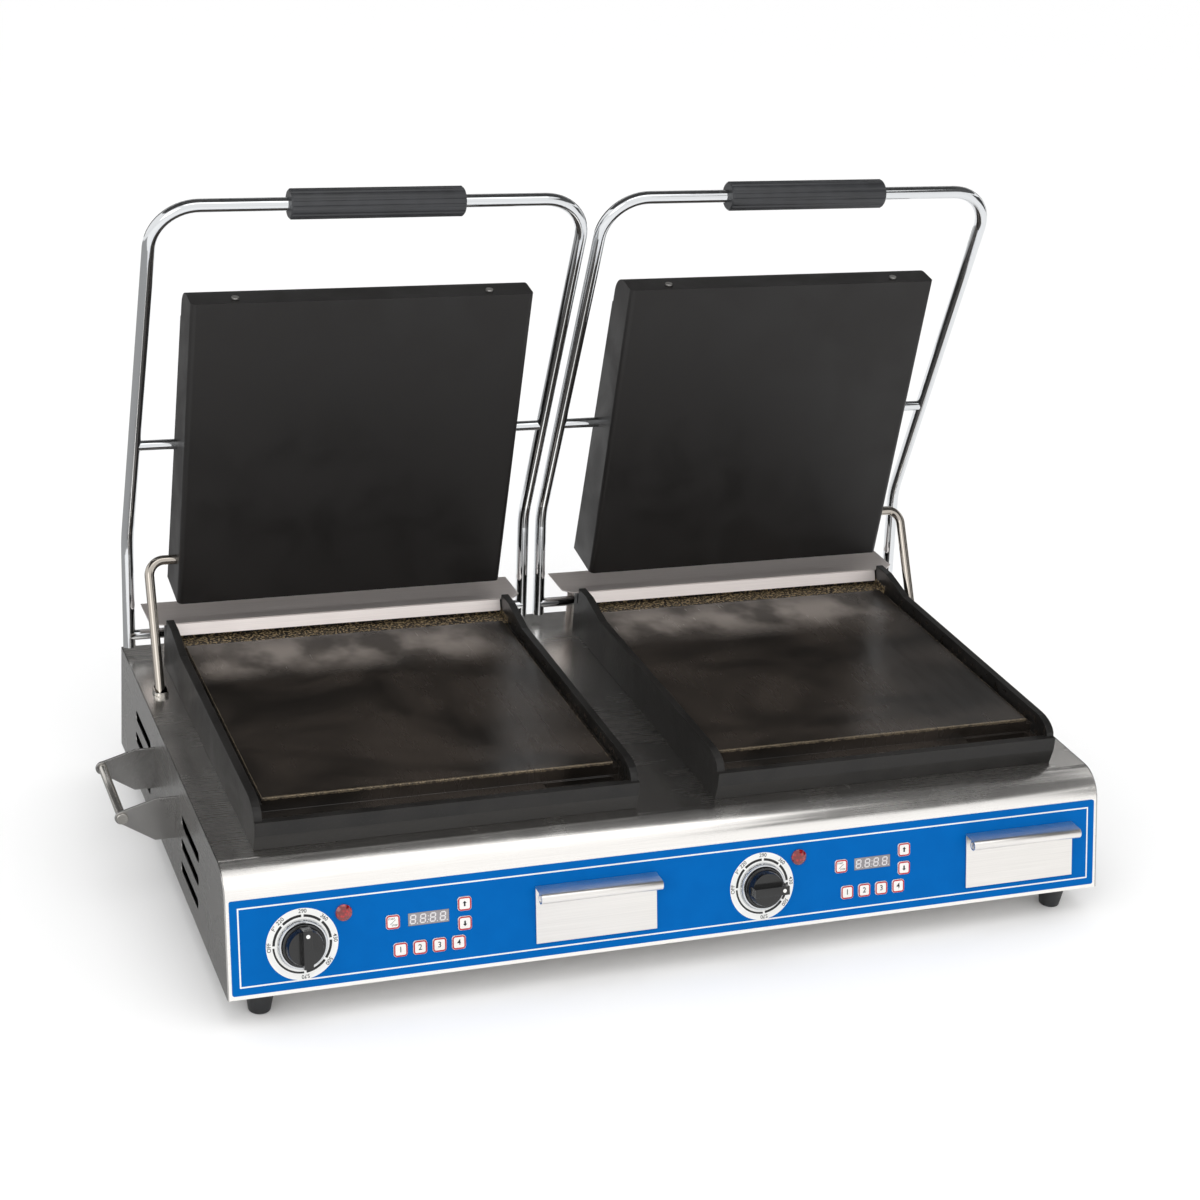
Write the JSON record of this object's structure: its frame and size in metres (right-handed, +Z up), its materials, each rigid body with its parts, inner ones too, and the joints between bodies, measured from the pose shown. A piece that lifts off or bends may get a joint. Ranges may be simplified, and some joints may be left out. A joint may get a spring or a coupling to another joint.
{
  "type": "double panini press",
  "caption": "Twin contact grill with hinged cast-iron plates, bent-bar handles, slanted control panel, timer keys, thermostat knobs and pull-out drip trays.",
  "frame": {"origin": "centre of the overall box at the level of the feet", "axes": "+Z up, front with the controls faces -Y, +X to the right seen from the front"},
  "size_m": [0.949, 0.5174, 0.6234],
  "materials": {
    "brushed_stainless": "brushed",
    "chrome": "polished",
    "steel_tube": "satin",
    "cast_iron": "seasoned, satin",
    "black_sheet": "heat-resistant black enamel",
    "plain_steel": "plain",
    "black_rubber": "matt",
    "grip_rubber": "satin",
    "blue_overlay": "printed film",
    "red_lens": "clear red",
    "display": "grey window",
    "circuit_board": "solder mask",
    "white_key": "satin",
    "black_plastic": "satin"
  },
  "bodies": {
    "base": {"body_wrap": "brushed_stainless", "back_panel": "brushed_stainless", "base_plate": "brushed_stainless", "feet": "black_rubber", "control_overlay": "blue_overlay", "thermostats": "black_plastic", "indicator_lamps": "red_lens", "timer_displays": "display", "timer_boards": "circuit_board", "tray_channels": "brushed_stainless", "hinge_bearings": "plain_steel", "torsion_springs": "plain_steel", "deck_collars": "plain_steel", "carry_rods": "brushed_stainless", "cable_gland": "black_plastic", "side_panel_left": "brushed_stainless", "carry_brackets_left": "brushed_stainless", "side_panel_right": "brushed_stainless", "carry_brackets_right": "brushed_stainless", "knob_bezel_left": "chrome", "lower_plate_left": "cast_iron", "splash_guard_left": "brushed_stainless", "knob_bezel_right": "chrome", "lower_plate_right": "cast_iron", "splash_guard_right": "brushed_stainless"},
    "knob_left": {"thermostat_knob_left": "black_plastic"},
    "tray_left": {"drip_tray_left": "brushed_stainless"},
    "hoop_left": {"handle_hoop_left": "chrome", "handle_grip_left": "grip_rubber", "hinge_shaft_left": "chrome", "pivot_shaft_left": "chrome"},
    "upper_left": {"upper_plate_left": "cast_iron", "upper_cover_left": "black_sheet", "cover_screws_left": "plain_steel"},
    "tube_left": {"wiring_tube_left": "steel_tube"},
    "button_start_left": {"button_start_left": "white_key"},
    "button_up_left": {"button_up_left": "white_key"},
    "button_down_left": {"button_down_left": "white_key"},
    "button_preset_1_left": {"button_preset_1_left": "white_key"},
    "button_preset_2_left": {"button_preset_2_left": "white_key"},
    "button_preset_3_left": {"button_preset_3_left": "white_key"},
    "button_preset_4_left": {"button_preset_4_left": "white_key"},
    "knob_right": {"thermostat_knob_right": "black_plastic"},
    "tray_right": {"drip_tray_right": "brushed_stainless"},
    "hoop_right": {"handle_hoop_right": "chrome", "handle_grip_right": "grip_rubber", "hinge_shaft_right": "chrome", "pivot_shaft_right": "chrome"},
    "upper_right": {"upper_plate_right": "cast_iron", "upper_cover_right": "black_sheet", "cover_screws_right": "plain_steel"},
    "tube_right": {"wiring_tube_right": "steel_tube"},
    "button_start_right": {"button_start_right": "white_key"},
    "button_up_right": {"button_up_right": "white_key"},
    "button_down_right": {"button_down_right": "white_key"},
    "button_preset_1_right": {"button_preset_1_right": "white_key"},
    "button_preset_2_right": {"button_preset_2_right": "white_key"},
    "button_preset_3_right": {"button_preset_3_right": "white_key"},
    "button_preset_4_right": {"button_preset_4_right": "white_key"}
  },
  "joints": [
    {"name": "hoop_left_fold", "type": "hinge", "parent": "base", "child": "hoop_left", "pos_m": [-0.2124, 0.22469, 0.1536], "axis": [1, 0, 0], "range_deg": [0, 69.16]},
    {"name": "upper_left_tilt", "type": "hinge", "parent": "hoop_left", "child": "upper_left", "pos_m": [-0.2124, 0.2012, 0.35899], "axis": [1, 0, 0], "range_deg": [0, 12.24]},
    {"name": "tube_left_swing", "type": "hinge", "parent": "upper_left", "child": "tube_left", "pos_m": [-0.4027, 0.19669, 0.243], "axis": [1, 0, 0], "range_deg": [-57.31, 0]},
    {"name": "knob_left_turn", "type": "hinge", "parent": "base", "child": "knob_left", "pos_m": [-0.3549, -0.2425, 0.07036], "axis": [0, -0.9686, 0.2487], "range_deg": [-180, 90]},
    {"name": "tray_left_slide", "type": "slide", "parent": "base", "child": "tray_left", "axis": [0, -1, 0], "range_m": [0, 0.22]},
    {"name": "button_start_left_press", "type": "slide", "parent": "base", "child": "button_start_left", "axis": [0, 0.9686, -0.2487], "range_m": [0, 0.0008], "stiffness_N_per_m": 1500, "springref_m": -0.0003},
    {"name": "button_up_left_press", "type": "slide", "parent": "base", "child": "button_up_left", "axis": [0, 0.9686, -0.2487], "range_m": [0, 0.0008], "stiffness_N_per_m": 1500, "springref_m": -0.0003},
    {"name": "button_down_left_press", "type": "slide", "parent": "base", "child": "button_down_left", "axis": [0, 0.9686, -0.2487], "range_m": [0, 0.0008], "stiffness_N_per_m": 1500, "springref_m": -0.0003},
    {"name": "button_preset_1_left_press", "type": "slide", "parent": "base", "child": "button_preset_1_left", "axis": [0, 0.9686, -0.2487], "range_m": [0, 0.0008], "stiffness_N_per_m": 1500, "springref_m": -0.0003},
    {"name": "button_preset_2_left_press", "type": "slide", "parent": "base", "child": "button_preset_2_left", "axis": [0, 0.9686, -0.2487], "range_m": [0, 0.0008], "stiffness_N_per_m": 1500, "springref_m": -0.0003},
    {"name": "button_preset_3_left_press", "type": "slide", "parent": "base", "child": "button_preset_3_left", "axis": [0, 0.9686, -0.2487], "range_m": [0, 0.0008], "stiffness_N_per_m": 1500, "springref_m": -0.0003},
    {"name": "button_preset_4_left_press", "type": "slide", "parent": "base", "child": "button_preset_4_left", "axis": [0, 0.9686, -0.2487], "range_m": [0, 0.0008], "stiffness_N_per_m": 1500, "springref_m": -0.0003},
    {"name": "hoop_right_fold", "type": "hinge", "parent": "base", "child": "hoop_right", "pos_m": [0.2124, 0.22469, 0.1536], "axis": [1, 0, 0], "range_deg": [0, 69.16]},
    {"name": "upper_right_tilt", "type": "hinge", "parent": "hoop_right", "child": "upper_right", "pos_m": [0.2124, 0.2012, 0.35899], "axis": [1, 0, 0], "range_deg": [0, 12.24]},
    {"name": "tube_right_swing", "type": "hinge", "parent": "upper_right", "child": "tube_right", "pos_m": [0.4027, 0.19669, 0.243], "axis": [1, 0, 0], "range_deg": [-57.31, 0]},
    {"name": "knob_right_turn", "type": "hinge", "parent": "base", "child": "knob_right", "pos_m": [0.0699, -0.2425, 0.07036], "axis": [0, -0.9686, 0.2487], "range_deg": [-90, 180]},
    {"name": "tray_right_slide", "type": "slide", "parent": "base", "child": "tray_right", "axis": [0, -1, 0], "range_m": [0, 0.22]},
    {"name": "button_start_right_press", "type": "slide", "parent": "base", "child": "button_start_right", "axis": [0, 0.9686, -0.2487], "range_m": [0, 0.0008], "stiffness_N_per_m": 1500, "springref_m": -0.0003},
    {"name": "button_up_right_press", "type": "slide", "parent": "base", "child": "button_up_right", "axis": [0, 0.9686, -0.2487], "range_m": [0, 0.0008], "stiffness_N_per_m": 1500, "springref_m": -0.0003},
    {"name": "button_down_right_press", "type": "slide", "parent": "base", "child": "button_down_right", "axis": [0, 0.9686, -0.2487], "range_m": [0, 0.0008], "stiffness_N_per_m": 1500, "springref_m": -0.0003},
    {"name": "button_preset_1_right_press", "type": "slide", "parent": "base", "child": "button_preset_1_right", "axis": [0, 0.9686, -0.2487], "range_m": [0, 0.0008], "stiffness_N_per_m": 1500, "springref_m": -0.0003},
    {"name": "button_preset_2_right_press", "type": "slide", "parent": "base", "child": "button_preset_2_right", "axis": [0, 0.9686, -0.2487], "range_m": [0, 0.0008], "stiffness_N_per_m": 1500, "springref_m": -0.0003},
    {"name": "button_preset_3_right_press", "type": "slide", "parent": "base", "child": "button_preset_3_right", "axis": [0, 0.9686, -0.2487], "range_m": [0, 0.0008], "stiffness_N_per_m": 1500, "springref_m": -0.0003},
    {"name": "button_preset_4_right_press", "type": "slide", "parent": "base", "child": "button_preset_4_right", "axis": [0, 0.9686, -0.2487], "range_m": [0, 0.0008], "stiffness_N_per_m": 1500, "springref_m": -0.0003}
  ],
  "couplings": [
    {"joint": "upper_left_tilt", "follows": "hoop_left_fold", "ratio": 0.17691},
    {"joint": "tube_left_swing", "follows": "hoop_left_fold", "ratio": -0.82857},
    {"joint": "upper_right_tilt", "follows": "hoop_right_fold", "ratio": 0.17691},
    {"joint": "tube_right_swing", "follows": "hoop_right_fold", "ratio": -0.82857}
  ]
}
